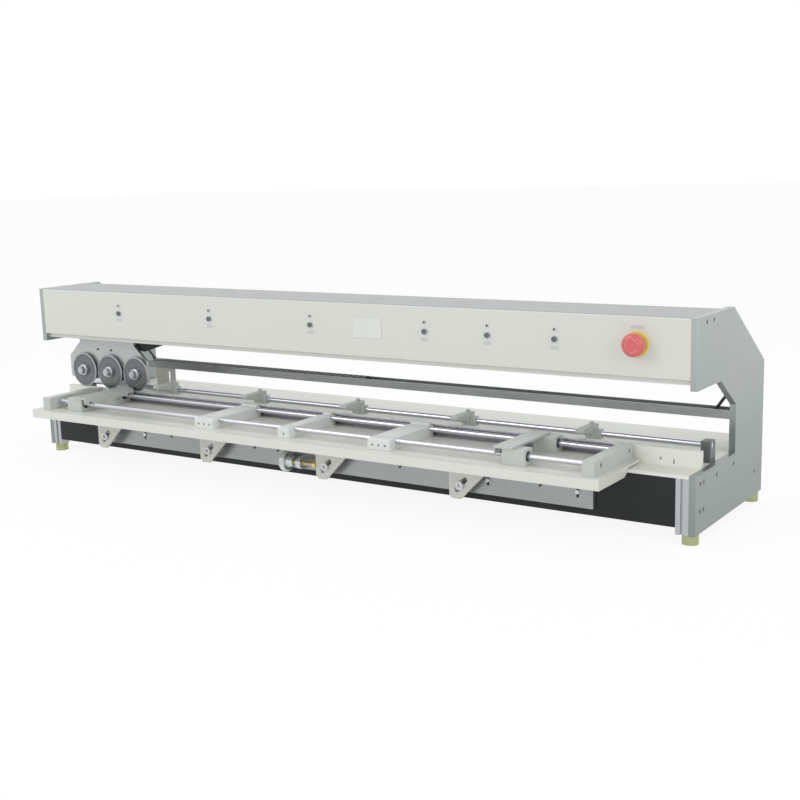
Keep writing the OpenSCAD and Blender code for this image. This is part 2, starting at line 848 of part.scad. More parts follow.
// Swivel pad on the tip of the lifting screw; it bears on the left edge of the third bracket
module thrust_pad()
    color("peru") in_frame()
        difference() {
            bar_x(pad_right - pad_l, pad_right, screw_y, screw_z, screw_d + 5);
            bar_x(pad_right - pad_l - 1, pad_right - pad_wall, screw_y, screw_z, screw_d + 2 * fit);
        }

knob_x = -58;
knob_w = 14;
knob_hub_l = 12;

// Lifting screw with its knurled hand knob and tapered hub
module lift_screw()
    color("silver") in_frame() {
        bar_x(knob_x + knob_w, pad_right - pad_wall - fit, screw_y, screw_z, screw_d);
        difference() {
            translate([knob_x, screw_y, screw_z])
                rotate([0, 90, 0])
                    rotate_extrude()
                        polygon([[0, 0], [knob_d / 2 - 3, 0], [knob_d / 2, 3],
                            [knob_d / 2, knob_w - 2], [knob_d / 2 - 2, knob_w], [12, knob_w],
                            [screw_d, knob_w + knob_hub_l], [0, knob_w + knob_hub_l]]);
            bar_x(knob_x + knob_w - eps, knob_x + 40, screw_y, screw_z, screw_d);
            for (a = [0:15:345])
                translate([knob_x - 1, screw_y, screw_z])
                    rotate([a, 0, 0])
                        translate([0, 0, knob_d / 2 + 0.6])
                            rotate([0, 90, 0])
                                cylinder(h = knob_w + 2, d = 3);
        }
    }

// ---------------------------------------------------------------- table

bar_low = table_z + 0.2;
shaft_y1 = -80;
shaft_y2 = shaft_y1 + shaft_gap;
shaft_z = 127;
bar_front = -102;
bar_rear = table_rear - 1;
end_bar_front = -109;
end_bar_z = 138;
end_left = table_left + 24;
end_right = table_right - 14 - end_bar_w;

// Table sheet with folded front and side lips; the side lips stop short at the base
lip_end_y = -3;
module table_tray()
    color("beige") in_frame() {
        block([table_left, table_front, table_under], [table_right, table_rear, table_z]);
        block([table_left, table_front, table_under - lip_h],
            [table_right, table_front + table_t, table_under + eps]);
        for (x = [table_left, table_right - table_t])
            extrude_x(x, x + table_t)
                polygon([[table_front + 1, table_under - lip_h], [lip_end_y - 14, table_under - lip_h],
                    [lip_end_y, table_under - lip_h + 8], [lip_end_y, table_under + eps],
                    [table_front + 1, table_under + eps]]);
    }

// Triangular brackets under the table, each with a slanted slot round a guide pin
module wedge_outline()
    difference() {
        polygon([[0, bracket_low + 6], [6, bracket_low], [24, bracket_low],
            [bracket_w, bracket_low + bracket_w - 24], [bracket_w, table_under], [0, table_under]]);
        translate([pin_dx, pin_z]) rotate(slot_angle) {
            square([2 * slot_half, pin_d + 2 * fit], center = true);
            for (s = [-1, 1]) translate([s * slot_half, 0]) circle(d = pin_d + 2 * fit);
        }
    }

module wedge_brackets()
    color("beige") in_frame() {
        for (i = [0:3]) translate([bracket_x0 + i * bracket_pitch, 0, 0]) {
            extrude_y(bracket_y, bracket_y + bracket_t) wedge_outline();
            block([0, bracket_y + bracket_t - eps, table_under - 5], [bracket_w, -6, table_under]);
        }
    }

// End bars hold both guide shafts
module end_bar(x)
    difference() {
        block([x, end_bar_front, table_z], [x + end_bar_w, table_rear, end_bar_z]);
        for (y = [shaft_y1, shaft_y2])
            bar_x(x - 1, x + end_bar_w + 1, y, shaft_z, shaft_d + 2 * fit);
    }

module end_bars()
    color("beige") in_frame() {
        end_bar(end_left);
        end_bar(end_right);
    }

module guide_shafts()
    color("white") in_frame()
        for (y = [shaft_y1, shaft_y2])
            difference() {
                bar_x(end_left + 1, end_right + end_bar_w - 1, y, shaft_z, shaft_d);
                for (x = [end_left, end_right + end_bar_w - 10])
                    bar_x(x, x + 10, y, shaft_z, 4.2);
            }

// Cross bar that rides on both shafts; set screws go in from the front
bar_top = 132;
module support_bar(x, w, screws) {
    difference() {
        extrude_x(x, x + w)
            polygon([[bar_front, bar_low], [bar_rear, bar_low], [bar_rear, bar_top],
                [bar_front + 3, bar_top], [bar_front, bar_top - 3]]);
        for (y = [shaft_y1, shaft_y2])
            bar_x(x - 1, x + w + 1, y, shaft_z, shaft_d + 2 * fit);
        for (dx = screws)
            bar_y(bar_front - 1, bar_front + 9, x + w / 2 + dx, bar_low + 9, 5);
    }
    // dark stop block on the rear end
    block([x + 4, bar_rear - 10, bar_top], [x + w - 4, bar_rear, bar_top + 5]);
}

module support_bar_1() color("whitesmoke") in_frame() support_bar(-232, wide_bar_w, [-14, 0, 14]);
module support_bar_2() color("whitesmoke") in_frame() support_bar(-12, narrow_bar_w, [0]);
module support_bar_3() color("whitesmoke") in_frame() support_bar(203, wide_bar_w, [-14, 0, 14]);

housing_w = 44;
housing_depth = 30;
housing_top = 140;
bearing_d = 19;
slider_t = 4;
slider_reach = 15;
flange_t = 2;
flange_drop = 15;

// Housing with a linear bearing set back inside it
module bearing_housing(y) {
    difference() {
        block([0, y - housing_depth / 2, bar_low], [housing_w, y + housing_depth / 2, housing_top]);
        bar_x(-1, housing_w + 1, y, shaft_z, bearing_d);
    }
    difference() {
        bar_x(5, housing_w - 5, y, shaft_z, bearing_d - 2 * fit);
        bar_x(-1, housing_w + 1, y, shaft_z, shaft_d + 2 * fit);
    }
}

// Board slider, drawn with its inner side at x = 0: two housings and the angle plate on them,
// whose flange points down in front of the housings with a notch over each shaft
module slider() {
    for (y = [shaft_y1, shaft_y2]) bearing_housing(y);
    block([-slider_reach, bar_front + 4, housing_top],
        [housing_w / 2, table_rear - 2, housing_top + slider_t]);
    difference() {
        block([-slider_reach, bar_front + 4, housing_top + slider_t - flange_drop],
            [flange_t - slider_reach, table_rear - 2, housing_top + eps]);
        for (y = [shaft_y1, shaft_y2])
            bar_x(-slider_reach - 1, flange_t - slider_reach + 1, y, shaft_z, shaft_d + 4);
    }
}

module slider_left()
    color("beige") in_frame()
        translate([-578, 0, 0]) mirror([1, 0, 0]) slider();

module slider_right()
    color("beige") in_frame()
        translate([485, 0, 0]) slider();

// ---------------------------------------------------------------- cables

// A round tube swept along a list of points
function unit(v) = v / norm(v);
function tangent(p, i) = unit(p[min(i + 1, len(p) - 1)] - p[max(i - 1, 0)]);
function side_of(t) = abs(t[2]) > 0.9 ? unit(cross(t, [1, 0, 0])) : unit(cross(t, [0, 0, 1]));
module tube(path, d, sides) {
    rings = [for (i = [0:len(path) - 1]) let (t = tangent(path, i), a = side_of(t), b = cross(t, a))
        for (k = [0:sides - 1]) path[i] + d / 2 * (cos(360 * k / sides) * a + sin(360 * k / sides) * b)];
    n = len(path);
    polyhedron(rings, concat(
        [[for (k = [0:sides - 1]) sides - 1 - k]],
        [[for (k = [0:sides - 1]) (n - 1) * sides + k]],
        [for (i = [0:n - 2], k = [0:sides - 1]) [i * sides + k, i * sides + (k + 1) % sides,
            (i + 1) * sides + (k + 1) % sides, (i + 1) * sides + k]]));
}

cable_points = [[-540, 74.2, 232], [-542, 84, 230], [-552, 98, 223], [-570, 122, 212], [-591, 147, 202],
    [-612, 168, 194], [-628, 184, 190], [-640, 198, 188], [-650, 208, 187], [-650, 213, 185.2]];
module carriage_cable() color([0.08, 0.08, 0.08]) in_frame() tube(cable_points, 5, 8);

side_cable_d = 6;
side_cable_x = 780;
side_cable_y = 264;
side_points = [[738, 213, 171], [750, 212, 174], [760, 208, 182], [769, 202, 192], [776, 198, 201],
    [780, 204, 206], [781, 216, 203], [781, 232, 194], [781, 248, 180], [781, 259, 164],
    [side_cable_x, side_cable_y, 146], [side_cable_x, side_cable_y, 128],
    [side_cable_x, side_cable_y, 96]];
module side_cable() color([0.08, 0.08, 0.08]) in_frame() tube(side_points, side_cable_d, 8);

// ---------------------------------------------------------------- output

end_plates();
end_plate_screws();
levelling_feet();
corner_posts();
base_top_plate();
base_front_panel();
base_shell();
upright_rail();
lower_knife();
rear_rod();
rod_supports();
rod_clamp_n(1);  // rod_clamp_1
rod_clamp_n(2);  // rod_clamp_2
rod_clamp_n(3);  // rod_clamp_3
rod_clamp_n(4);  // rod_clamp_4
rod_clamp_n(5);  // rod_clamp_5
cable_tray();
tray_bracket();
cable_chain();
beam_cover();
beam_profile();
linear_rail();
drive_belt();
drive_motor();
drive_pulley();
idler_pulley();
apron_bar();
apron_fittings();
thrust_pad();
lift_screw();
table_tray();
wedge_brackets();
end_bars();
guide_shafts();
support_bar_1();
support_bar_2();
support_bar_3();
slider_left();
slider_right();
carriage_plate();
carriage_blocks();
carriage_arm();
carriage_cable();
blade_n(1);  // blade_1
blade_n(2);  // blade_2
blade_n(3);  // blade_3
panel_fittings();
estop_collar();
estop_stem();
estop_head();
button_n(1);  // button_1
button_n(2);  // button_2
button_n(3);  // button_3
button_n(4);  // button_4
button_n(5);  // button_5
button_n(6);  // button_6
power_inlet();
side_cable();
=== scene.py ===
# %% [markdown]
# # A long-bed board depaneling machine
# The machine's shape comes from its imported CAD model, which is loaded here as a fixed frame. This
# lesson adds what the model lacks: a camera, light, finishes and small fittings. Everything is in
# metres, with x along the machine, y towards its back and z up from the bench.

# %% Load the machine
import math
import bpy
from mathutils import Matrix, Vector


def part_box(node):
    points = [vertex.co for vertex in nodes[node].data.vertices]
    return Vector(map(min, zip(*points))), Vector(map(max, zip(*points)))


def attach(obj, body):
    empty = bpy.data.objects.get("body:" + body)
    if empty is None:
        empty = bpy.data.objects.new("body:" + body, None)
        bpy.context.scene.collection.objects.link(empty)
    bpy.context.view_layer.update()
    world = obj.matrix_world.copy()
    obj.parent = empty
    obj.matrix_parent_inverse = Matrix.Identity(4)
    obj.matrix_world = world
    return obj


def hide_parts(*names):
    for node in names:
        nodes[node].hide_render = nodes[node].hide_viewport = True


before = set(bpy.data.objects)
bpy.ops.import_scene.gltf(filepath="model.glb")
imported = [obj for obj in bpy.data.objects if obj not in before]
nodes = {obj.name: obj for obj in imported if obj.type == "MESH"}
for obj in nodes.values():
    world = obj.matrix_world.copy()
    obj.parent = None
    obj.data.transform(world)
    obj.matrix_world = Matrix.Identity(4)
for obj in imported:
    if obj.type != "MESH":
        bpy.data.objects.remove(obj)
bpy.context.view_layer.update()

# %% [markdown]
# The camera stands in front of the right end, a little above the beam, so that the long front, the
# open right end and the board guides all show. Its matrix is built from a turn, a tilt and a small
# roll, because that is how a tripod head is set.

# %% Camera
turn = math.radians(34.09)
tilt = math.radians(10.68)
roll = math.radians(-1.64)
look = Vector((-math.sin(turn) * math.cos(tilt), math.cos(turn) * math.cos(tilt), -math.sin(tilt)))
level_right = Vector((math.cos(turn), math.sin(turn), 0))
level_up = level_right.cross(look)
right = math.cos(roll) * level_right + math.sin(roll) * level_up
up = -math.sin(roll) * level_right + math.cos(roll) * level_up

camera_data = bpy.data.cameras.new("camera")
camera_data.sensor_width = 36
camera_data.lens = 55.3
camera_data.clip_start = 0.05
camera = bpy.data.objects.new("camera", camera_data)
tripod = (1.507, -2.0305, 0.641)
camera.matrix_world = Matrix.Translation(tripod) @ Matrix((right, up, -look)).transposed().to_4x4()
bpy.context.scene.collection.objects.link(camera)
bpy.context.scene.camera = camera
print("camera", tuple(round(c, 3) for c in camera.location), "lens", camera_data.lens)

# %% [markdown]
# Two black leads are held by the machine along their whole length: one drops from the blade
# carriage to the cable chain, and one rises from the end of the tray and goes down behind the right
# column. A lead is round, so it could be a curve with a bevel or a mesh tube. A mesh tube is used
# here, swept along a smooth line through a few points, because its rings stay evenly round.

# %% Smooth line and tube helpers
def smooth_line(points, steps=6):
    """Points along a curve that passes through every given point."""
    p = [Vector(q) for q in points]
    p = [2 * p[0] - p[1], *p, 2 * p[-1] - p[-2]]
    line = []
    for i in range(1, len(p) - 2):
        for s in range(steps):
            t = s / steps
            line.append(0.5 * (2 * p[i] + (p[i + 1] - p[i - 1]) * t
                + (2 * p[i - 1] - 5 * p[i] + 4 * p[i + 1] - p[i + 2]) * t ** 2
                + (3 * p[i] - p[i - 1] - 3 * p[i + 1] + p[i + 2]) * t ** 3))
    line.append(p[-2])
    return line


def new_mesh(name, vertices, faces, body, smooth=True):
    """A mesh object that rides on one body of the machine."""
    mesh = bpy.data.meshes.new(name)
    mesh.from_pydata([tuple(v) for v in vertices], [], faces)
    mesh.update()
    if smooth:
        mesh.shade_smooth()
    piece = bpy.data.objects.new(name, mesh)
    bpy.context.scene.collection.objects.link(piece)
    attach(piece, body)
    return piece


def wall_faces(rings, sides, closed=False):
    """Faces between neighbouring rings of points, and from the last to the first if closed."""
    return [(i * sides + k, i * sides + (k + 1) % sides, (i + 1) % rings * sides + (k + 1) % sides,
        (i + 1) % rings * sides + k) for i in range(rings if closed else rings - 1)
        for k in range(sides)]


def end_faces(rings, sides):
    """Two faces that close the first and the last ring."""
    return [tuple(reversed(range(sides))), tuple(range((rings - 1) * sides, rings * sides))]


def tube(name, points, radius, body, sides=16):
    """A round tube along a smooth line through the points."""
    line = smooth_line(points)
    vertices = []
    side = None
    for i, p in enumerate(line):
        ahead = (line[min(i + 1, len(line) - 1)] - line[max(i - 1, 0)]).normalized()
        if side is None:
            side = ahead.orthogonal().normalized()
        side = (side - ahead * side.dot(ahead)).normalized()
        other = ahead.cross(side)
        for k in range(sides):
            a = math.tau * k / sides
            vertices.append(p + radius * (math.cos(a) * side + math.sin(a) * other))
    faces = wall_faces(len(line), sides) + end_faces(len(line), sides)
    return new_mesh(name, vertices, faces, body)


def place(x, y, z):
    """A point of the machine drawing, in millimetres from the end plates' lower front edge."""
    return (x / 1000, (y - 114.5) / 1000, (z + 18) / 1000)


# %% Carriage lead and side lead
carriage_route = [(-540, 74.4, 232), (-542, 84, 230), (-552, 98, 223), (-570, 122, 212),
    (-591, 147, 202), (-612, 168, 194), (-628, 184, 190), (-640, 198, 188), (-650, 208, 187),
    (-650, 213, 185.4)]
carriage_lead = tube("carriage_lead", [place(*p) for p in carriage_route], 0.0024, "carriage")
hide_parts("carriage_cable")

side_route = [(738, 213, 171), (750, 212, 174), (760, 208, 182), (769, 202, 192), (776, 198, 201),
    (780, 204, 206), (781, 216, 203), (781, 232, 194), (781, 248, 180), (781, 259, 164),
    (780, 264, 146), (780, 264, 128), (780, 264, 97)]
side_lead = tube("side_lead", [place(*p) for p in side_route], 0.0029, "frame")
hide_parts("side_cable")
print("leads with", len(carriage_lead.data.vertices), "and", len(side_lead.data.vertices), "points")

# %% [markdown]
# Floor, light and finishes are all made of shader nodes. Two short helpers keep that readable: one
# adds a node and sets its plain values, and the other joins pairs of sockets.

# %% Node helpers
def add(tree, kind, values=None, **settings):
    """Adds a shader node. values holds its unlinked sockets, by name or by number."""
    made = tree.nodes.new("ShaderNode" + kind)
    for name, value in settings.items():
        setattr(made, name, value)
    for socket, value in (values or {}).items():
        made.inputs[socket].default_value = value
    return made


def join(tree, *pairs):
    """Links each pair of sockets, from an output to an input."""
    for start, end in pairs:
        tree.links.new(start, end)


print("node helpers", add.__name__, join.__name__)

# %% [markdown]
# A bench machine is shown on a plain pale floor. The floor is one large sheet whose paint looks
# white to the camera and still takes a soft shadow from the machine, so that it stands on
# something.

# %% Floor
floor_mesh = bpy.data.meshes.new("floor")
reach = 30
floor_mesh.from_pydata([(-reach, -reach, 0), (reach, -reach, 0), (reach, reach, 0),
    (-reach, reach, 0)], [], [(0, 1, 2, 3)])
floor = bpy.data.objects.new("floor", floor_mesh)
bpy.context.scene.collection.objects.link(floor)

floor_paint = bpy.data.materials.new("floor_paint")
floor_paint.use_nodes = True
tree = floor_paint.node_tree
tree.nodes.clear()
matt = add(tree, "BsdfDiffuse", {"Color": (0.86, 0.86, 0.86, 1)})
glow = add(tree, "Emission", {"Strength": 1.04})
ray = add(tree, "LightPath")
seen = add(tree, "Math", operation="MAXIMUM")
share = add(tree, "Math", {1: 0.86}, operation="MULTIPLY")
mix = add(tree, "MixShader")
out = add(tree, "OutputMaterial")
join(tree,
    (ray.outputs["Is Camera Ray"], seen.inputs[0]),
    (ray.outputs["Is Glossy Ray"], seen.inputs[1]),
    (seen.outputs[0], share.inputs[0]),
    (share.outputs[0], mix.inputs[0]),
    (matt.outputs[0], mix.inputs[1]),
    (glow.outputs[0], mix.inputs[2]),
    (mix.outputs[0], out.inputs[0]))
floor_mesh.materials.append(floor_paint)
print("floor", 2 * reach, "metres wide")

# %% [markdown]
# The light is that of a photographer's tent: an even pale surround, one broad lamp high in front on
# the left, and weaker ones low in front, on the right and above. The surround is white where the
# camera or a glossy surface looks straight at it, so that bare metal has something to reflect.

# %% Light
world = bpy.data.worlds.new("tent")
bpy.context.scene.world = world
world.use_nodes = True
tree = world.node_tree
tree.nodes.clear()
ray = add(tree, "LightPath")
direct = add(tree, "Math", operation="MAXIMUM")
any_view = add(tree, "Math", operation="MAXIMUM")
dim = add(tree, "Background", {"Color": (0.96, 0.98, 1.0, 1), "Strength": 0.63})
white = add(tree, "Background", {"Color": (1, 1, 1, 1), "Strength": 1.0})
mix = add(tree, "MixShader")
out = add(tree, "OutputWorld")
join(tree,
    (ray.outputs["Is Camera Ray"], direct.inputs[0]),
    (ray.outputs["Is Glossy Ray"], direct.inputs[1]),
    (direct.outputs[0], any_view.inputs[0]),
    (ray.outputs["Is Transmission Ray"], any_view.inputs[1]),
    (any_view.outputs[0], mix.inputs[0]),
    (dim.outputs[0], mix.inputs[1]),
    (white.outputs[0], mix.inputs[2]),
    (mix.outputs[0], out.inputs[0]))


def lamp(name, position, power, size):
    """A square lamp that faces the middle of the machine; power is in watts."""
    data = bpy.data.lights.new(name, "AREA")
    data.energy = power
    data.size = size
    light = bpy.data.objects.new(name, data)
    light.location = position
    light.rotation_mode = "QUATERNION"
    light.rotation_quaternion = (Vector((0, 0, 0.2)) - light.location).to_track_quat("-Z", "Y")
    bpy.context.scene.collection.objects.link(light)
    return light


lamp("key_lamp", (-1.6, -2.8, 2.2), 24, 2.0)
lamp("low_lamp", (0.8, -3.2, 0.8), 6, 1.8)
lamp("right_lamp", (3.2, -1.2, 1.4), 14, 1.6)
lamp("top_lamp", (0.3, 0.4, 3.0), 10, 2.4)
bpy.context.scene.view_settings.view_transform = "Standard"

# %% [markdown]
# Every finish on the machine is paint, metal, rubber or moulded plastic, and each has the same
# make-up: a slow cloud of two near colours, a fine grain that changes the gloss and the bump, and
# edges that are a touch rounder than a computer's corners and mixed towards an edge colour. On
# most finishes that colour is lighter, partly rubbed wear and partly a painted highlight. One
# helper builds that from noise, so that no picture file is needed, and each finish then sets its
# own scale and direction.

# %% Finish helper
def finish(name, colour, second, gloss, metal=0.0, stretch=(1, 1, 1), cloud=3.0, grain=500.0,
        bump=0.15, edge=None, edge_size=0.0008, coat=0.0, spread=0.07):
    """A paint, metal or plastic. gloss is the roughness, and stretch draws the grain out."""
    material = bpy.data.materials.new(name)
    material.use_nodes = True
    t = material.node_tree
    shader = t.nodes["Principled BSDF"]
    shader.inputs["Metallic"].default_value = metal
    shader.inputs["Coat Weight"].default_value = coat
    where = add(t, "TexCoord")
    drawn = add(t, "Mapping", {"Scale": stretch})
    slow = add(t, "TexNoise", {"Scale": cloud, "Detail": 5})
    fine = add(t, "TexNoise", {"Scale": grain, "Detail": 3})
    tint = add(t, "Mix", {"A": (*colour, 1), "B": (*second, 1)}, data_type="RGBA")
    ranged = add(t, "MapRange", {"From Min": 0.3, "From Max": 0.7,
        "To Min": max(gloss - spread, 0.03), "To Max": min(gloss + spread, 1)})
    soft = add(t, "Bevel", {"Radius": edge_size}, samples=4)
    lift = add(t, "Bump", {"Strength": bump, "Distance": 0.0003})
    join(t,
        (where.outputs["Object"], drawn.inputs["Vector"]),
        (where.outputs["Object"], slow.inputs["Vector"]),
        (drawn.outputs["Vector"], fine.inputs["Vector"]),
        (slow.outputs["Fac"], tint.inputs["Factor"]),
        (fine.outputs["Fac"], ranged.inputs["Value"]),
        (ranged.outputs["Result"], shader.inputs["Roughness"]),
        (fine.outputs["Fac"], lift.inputs["Height"]),
        (soft.outputs["Normal"], lift.inputs["Normal"]),
        (lift.outputs["Normal"], shader.inputs["Normal"]))
    last = tint.outputs["Result"]
    # Edges are mixed towards the edge colour, which is partly rubbed wear and partly a painted
    # highlight.
    if edge:
        flat = add(t, "NewGeometry")
        bent = add(t, "VectorMath", operation="DOT_PRODUCT")
        near = add(t, "MapRange", {"From Min": 0.99, "From Max": 0.85})
        worn_and_highlit = add(t, "Mix", {"B": (*edge, 1)}, data_type="RGBA")
        join(t,
            (soft.outputs["Normal"], bent.inputs[0]),
            (flat.outputs["Normal"], bent.inputs[1]),
            (bent.outputs["Value"], near.inputs["Value"]),
            (near.outputs["Result"], worn_and_highlit.inputs["Factor"]),
            (last, worn_and_highlit.inputs["A"]))
        last = worn_and_highlit.outputs["Result"]
    join(t, (last, shader.inputs["Base Color"]))
    return material


def band(material, axis, low, high, colour, blur=0.0004):
    """Paints one colour over a finish between two heights of one axis, measured on the piece."""
    t = material.node_tree
    shader = t.nodes["Principled BSDF"]
    before = shader.inputs["Base Color"].links[0].from_socket
    where = add(t, "TexCoord")
    parts = add(t, "SeparateXYZ")
    join(t, (where.outputs["Object"], parts.inputs[0]))
    masks = []
    for start, end in ((low - blur, low + blur), (high + blur, high - blur)):
        step = add(t, "MapRange", {"From Min": start, "From Max": end})
        join(t, (parts.outputs["XYZ".index(axis)], step.inputs["Value"]))
        masks.append(step.outputs["Result"])
    both = add(t, "Math", operation="MULTIPLY")
    over = add(t, "Mix", {"B": (*colour, 1)}, data_type="RGBA")
    join(t,
        (masks[0], both.inputs[0]),
        (masks[1], both.inputs[1]),
        (both.outputs[0], over.inputs["Factor"]),
        (before, over.inputs["A"]),
        (over.outputs["Result"], shader.inputs["Base Color"]))
    return both.outputs[0]


def wear(node_names, material):
    """Gives nodes of the machine a finish."""
    for name in node_names:
        piece = nodes[name]
        if not piece.material_slots:
            piece.data.materials.append(material)
        for slot in piece.material_slots:
            slot.material = material


# %% [markdown]
# The covers, the table and its fittings are sheet steel with a warm white powder coat. Powder coat
# has a fine orange peel, a satin gloss, and thin bright corners that are partly worn by hands and
# boards and partly a painted highlight. The beam cover's finish turns grey close to its highest
# point.

# %% Warm white powder coat
cream_coat = finish("cream_coat", (0.85, 0.86, 0.78), (0.90, 0.91, 0.84), 0.38, cloud=2.2,
    grain=900, bump=0.10, edge=(0.90, 0.90, 0.87))
table_coat = finish("table_coat", (0.77, 0.78, 0.70), (0.84, 0.84, 0.78), 0.34, cloud=3.1,
    grain=900, bump=0.10, edge=(0.92, 0.92, 0.88))
fitting_coat = finish("fitting_coat", (0.55, 0.57, 0.54), (0.66, 0.68, 0.65), 0.30, cloud=9,
    grain=1200, bump=0.12, edge=(0.88, 0.88, 0.86))
bar_coat = finish("bar_coat", (0.76, 0.78, 0.75), (0.84, 0.85, 0.83), 0.30, cloud=7, grain=1200,
    bump=0.08, edge=(0.94, 0.94, 0.93))
cover_coat = finish("cover_coat", (0.74, 0.75, 0.68), (0.80, 0.81, 0.75), 0.38, cloud=2.2,
    grain=900, bump=0.10, edge=(0.90, 0.90, 0.87))
cover_low, cover_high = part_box("beam_cover")
# The finish is painted grey within 1.2 mm of the beam cover's highest point.
band(cover_coat, "Z", cover_high.z - 0.0012, cover_high.z + 0.01, (0.43, 0.44, 0.44))
wear(["beam_cover"], cover_coat)
wear(["base_top_plate", "base_shell", "upright_rail", "tray_bracket"], cream_coat)
wear(["table_tray", "wedge_brackets"], table_coat)
wear(["end_bars", "slider_left", "slider_right"] + [f"rod_clamp_{i}" for i in range(1, 6)],
    fitting_coat)
wear([f"support_bar_{i}" for i in range(1, 4)], bar_coat)

# %% [markdown]
# The two end plates are thick aluminium, cut and then brushed from front to back. Brushing leaves
# long fine lines, so the noise is drawn out along one axis. The posts, the apron bar and the tray
# are extruded along their length and then anodised grey, so their lines run that way.

# %% Aluminium
plate_metal = finish("plate_metal", (0.34, 0.385, 0.37), (0.50, 0.53, 0.52), 0.33, metal=0.75,
    stretch=(60, 1, 60), cloud=2.6, grain=14, bump=0.10, edge=(0.80, 0.83, 0.83), edge_size=0.0012)
bar_metal = finish("bar_metal", (0.32, 0.335, 0.335), (0.42, 0.435, 0.435), 0.32, metal=0.7,
    stretch=(1, 70, 70), cloud=4, grain=12, bump=0.12, edge=(0.72, 0.74, 0.75))
post_metal = finish("post_metal", (0.45, 0.46, 0.48), (0.55, 0.56, 0.58), 0.34, metal=0.7,
    stretch=(70, 70, 1), cloud=5, grain=12, bump=0.12, edge=(0.74, 0.75, 0.77))
carriage_metal = finish("carriage_metal", (0.50, 0.52, 0.52), (0.60, 0.61, 0.61), 0.36, metal=0.55,
    stretch=(1, 1, 50), cloud=8, grain=18, bump=0.10, edge=(0.78, 0.79, 0.80))
plate_low, plate_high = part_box("end_plates")
painted_reflection_middle = (plate_low.z + plate_high.z) / 2
# Painted reflection: a broad blend darkens the end plates from their middle height towards the
# bottom.
band(plate_metal, "Z", -1, painted_reflection_middle, (0.26, 0.30, 0.29), blur=0.17)
wear(["end_plates"], plate_metal)
wear(["apron_bar", "cable_tray", "beam_profile"], bar_metal)
wear(["corner_posts"], post_metal)
wear(["carriage_plate"], carriage_metal)

# %% [markdown]
# The knives are ground tool steel. The straight knife is dark below with a bright band along its
# cutting edge, and each round blade has a bright ground rim. Both come from the same idea: the
# finish looks at how far a point is from the edge, and is brighter close to it.

# %% Knives
knife_steel = finish("knife_steel", (0.20, 0.20, 0.24), (0.30, 0.30, 0.34), 0.30, metal=0.85,
    stretch=(60, 1, 1), cloud=9, grain=16, bump=0.10, edge=(0.62, 0.62, 0.66))
knife_low, knife_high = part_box("lower_knife")
band(knife_steel, "Z", knife_high.z - 0.0035, knife_high.z + 0.01, (0.66, 0.66, 0.70))
wear(["lower_knife"], knife_steel)


def blade_steel(number):
    """Steel with rings round this blade's own axis."""
    low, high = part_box(f"blade_{number}")
    centre = (low + high) / 2
    material = finish(f"blade_steel_{number}", (0.16, 0.165, 0.17), (0.22, 0.225, 0.23), 0.30,
        metal=0.8, cloud=14, grain=900, bump=0.02, edge=(0.60, 0.61, 0.64), edge_size=0.0005)
    t = material.node_tree
    shader = t.nodes["Principled BSDF"]
    before = shader.inputs["Base Color"].links[0].from_socket
    where = add(t, "TexCoord")
    moved = add(t, "VectorMath", {1: centre}, operation="SUBTRACT")
    round_only = add(t, "VectorMath", {1: (1, 0, 1)}, operation="MULTIPLY")
    radius = add(t, "VectorMath", operation="LENGTH")
    scaled = add(t, "Math", {1: (high.x - low.x) / 2}, operation="DIVIDE")
    shape = add(t, "ValToRGB")
    over = add(t, "Mix", {"Factor": 0.8}, data_type="RGBA")
    hub, face, rim = (0.62, 0.63, 0.65, 1), (0.13, 0.135, 0.14, 1), (0.42, 0.43, 0.45, 1)
    ramp = shape.color_ramp
    ramp.elements[0].position = 0.0
    ramp.elements[0].color = hub
    ramp.elements[1].position = 1.0
    ramp.elements[1].color = (0.50, 0.51, 0.54, 1)
    for position, colour in ((0.33, hub), (0.345, face), (0.60, (0.19, 0.195, 0.20, 1)),
            (0.90, (0.15, 0.155, 0.16, 1)), (0.93, rim)):
        element = ramp.elements.new(position)
        element.color = colour
    join(t,
        (where.outputs["Object"], moved.inputs[0]),
        (moved.outputs["Vector"], round_only.inputs[0]),
        (round_only.outputs["Vector"], radius.inputs[0]),
        (radius.outputs["Value"], scaled.inputs[0]),
        (scaled.outputs[0], shape.inputs["Fac"]),
        (before, over.inputs["A"]),
        (shape.outputs["Color"], over.inputs["B"]),
        (over.outputs["Result"], shader.inputs["Base Color"]))
    return material


for number in (1, 2, 3):
    wear([f"blade_{number}"], blade_steel(number))

# %% [markdown]
# Rods and shafts are hard chromed and polished, so they mirror the pale tent and look nearly white
# with a dark line. Turned fittings are plain steel with fine rings, and the feet and the thrust pad
# are brass. The lifting screw is one node with a steel knob and a yellow threaded rod, so its
# finish changes along its length, and a fine wave gives the rod its grooves.

# %% Chrome, turned steel and brass
chrome = finish("chrome", (0.60, 0.60, 0.67), (0.72, 0.72, 0.78), 0.20, metal=1.0,
    stretch=(1, 80, 80), cloud=6, grain=10, bump=0.03, spread=0.04)
turned_steel = finish("turned_steel", (0.56, 0.57, 0.58), (0.68, 0.69, 0.70), 0.28, metal=0.85,
    cloud=30, grain=700, bump=0.10, edge=(0.86, 0.87, 0.88), edge_size=0.0004)
dark_steel = finish("dark_steel", (0.14, 0.15, 0.15), (0.22, 0.23, 0.23), 0.34, metal=0.75,
    cloud=20, grain=600, bump=0.12, edge=(0.46, 0.47, 0.48), edge_size=0.0005)
foot_brass = finish("foot_brass", (0.33, 0.37, 0.18), (0.48, 0.52, 0.29), 0.28, metal=0.7,
    stretch=(40, 40, 1), cloud=22, grain=16, bump=0.25, edge=(0.80, 0.80, 0.60))
pad_brass = finish("pad_brass", (0.66, 0.50, 0.26), (0.78, 0.62, 0.36), 0.28, metal=0.85, cloud=40,
    grain=700, bump=0.1, edge=(0.88, 0.76, 0.52), edge_size=0.0004)
